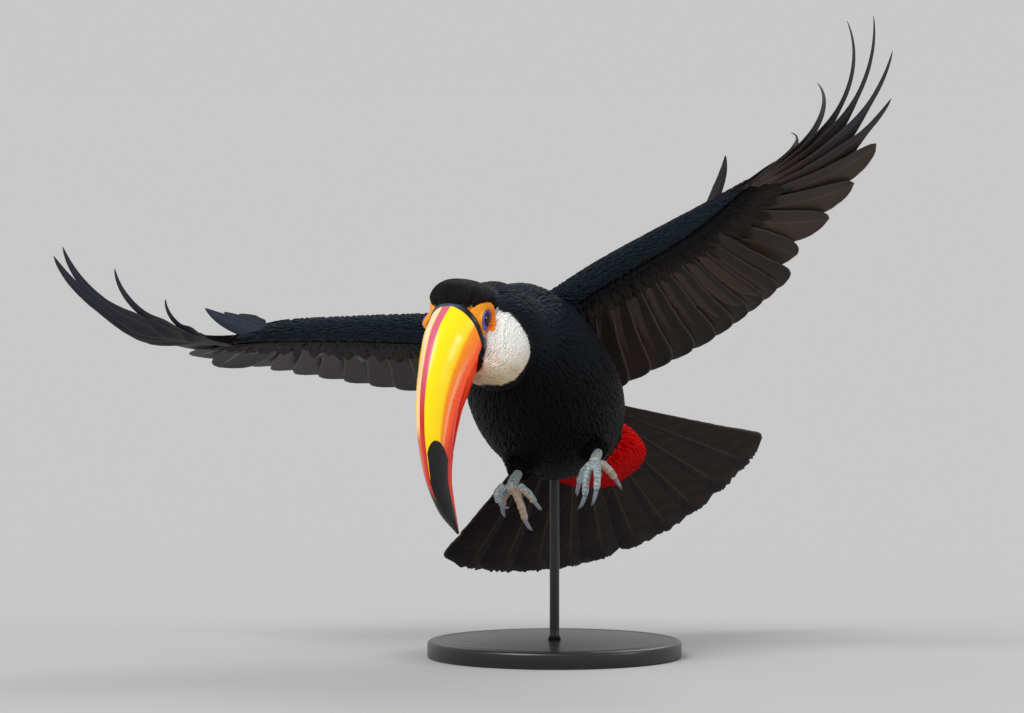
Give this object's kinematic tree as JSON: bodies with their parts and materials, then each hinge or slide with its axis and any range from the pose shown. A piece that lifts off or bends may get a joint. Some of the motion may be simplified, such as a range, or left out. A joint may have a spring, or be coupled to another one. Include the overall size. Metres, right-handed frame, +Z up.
{
  "type": "toco toucan in flight, still life-size model on a stand",
  "caption": "Life-size toco toucan braking in flight: large orange bill, white throat, raised wings, fanned tail, on a round display stand.",
  "frame": {"origin": "centre of the underside of the stand's base", "axes": "+Z up, +X towards the tip of the bird's left wing, the breast faces -Y"},
  "size_m": [0.6846, 0.3524, 0.5278],
  "materials": {
    "coat_black": "soft black contour feathers",
    "coat_bluish": "black wing coverts with a blue sheen",
    "coat_white": "soft white feathers of throat and rump",
    "coat_red": "soft red undertail coverts",
    "flight_feather": "stiff brown-black vanes with a low sheen",
    "horn_orange": "glossy yellow to orange horn with a black tip",
    "horn_red": "glossy orange-red horn",
    "eye": "wet dark eye in a ring of blue skin",
    "leg_skin": "blue-grey scaled skin",
    "claw": "smooth grey horn",
    "stand_wood": "black satin lacquer",
    "stand_metal": "black satin paint"
  },
  "bodies": {
    "root": {"bill_upper": "horn_orange", "bill_lower": "horn_red", "eye_left": "eye", "eye_right": "eye", "head": "coat_black", "throat": "coat_white", "neck": "coat_black", "trunk": "coat_black", "rump": "coat_white", "undertail": "coat_red", "tail": "flight_feather", "wing_left_upper_arm": "coat_bluish", "wing_left_forearm": "coat_bluish", "wing_left_hand": "coat_bluish", "wing_left_alula": "flight_feather", "wing_left_secondaries": "flight_feather", "wing_left_primaries": "flight_feather", "wing_right_upper_arm": "coat_bluish", "wing_right_forearm": "coat_bluish", "wing_right_hand": "coat_bluish", "wing_right_alula": "flight_feather", "wing_right_secondaries": "flight_feather", "wing_right_primaries": "flight_feather", "leg_left_tarsus": "leg_skin", "leg_left_thigh": "coat_black", "leg_left_toe_inner_front": "leg_skin", "leg_left_claw_inner_front": "claw", "leg_left_toe_outer_front": "leg_skin", "leg_left_claw_outer_front": "claw", "leg_left_toe_inner_back": "leg_skin", "leg_left_claw_inner_back": "claw", "leg_left_toe_outer_back": "leg_skin", "leg_left_claw_outer_back": "claw", "leg_right_tarsus": "leg_skin", "leg_right_thigh": "coat_black", "leg_right_toe_inner_front": "leg_skin", "leg_right_claw_inner_front": "claw", "leg_right_toe_outer_front": "leg_skin", "leg_right_claw_outer_front": "claw", "leg_right_toe_inner_back": "leg_skin", "leg_right_claw_inner_back": "claw", "leg_right_toe_outer_back": "leg_skin", "leg_right_claw_outer_back": "claw", "stand_base": "stand_wood", "stand_rod": "stand_metal"}
  },
  "joints": []
}
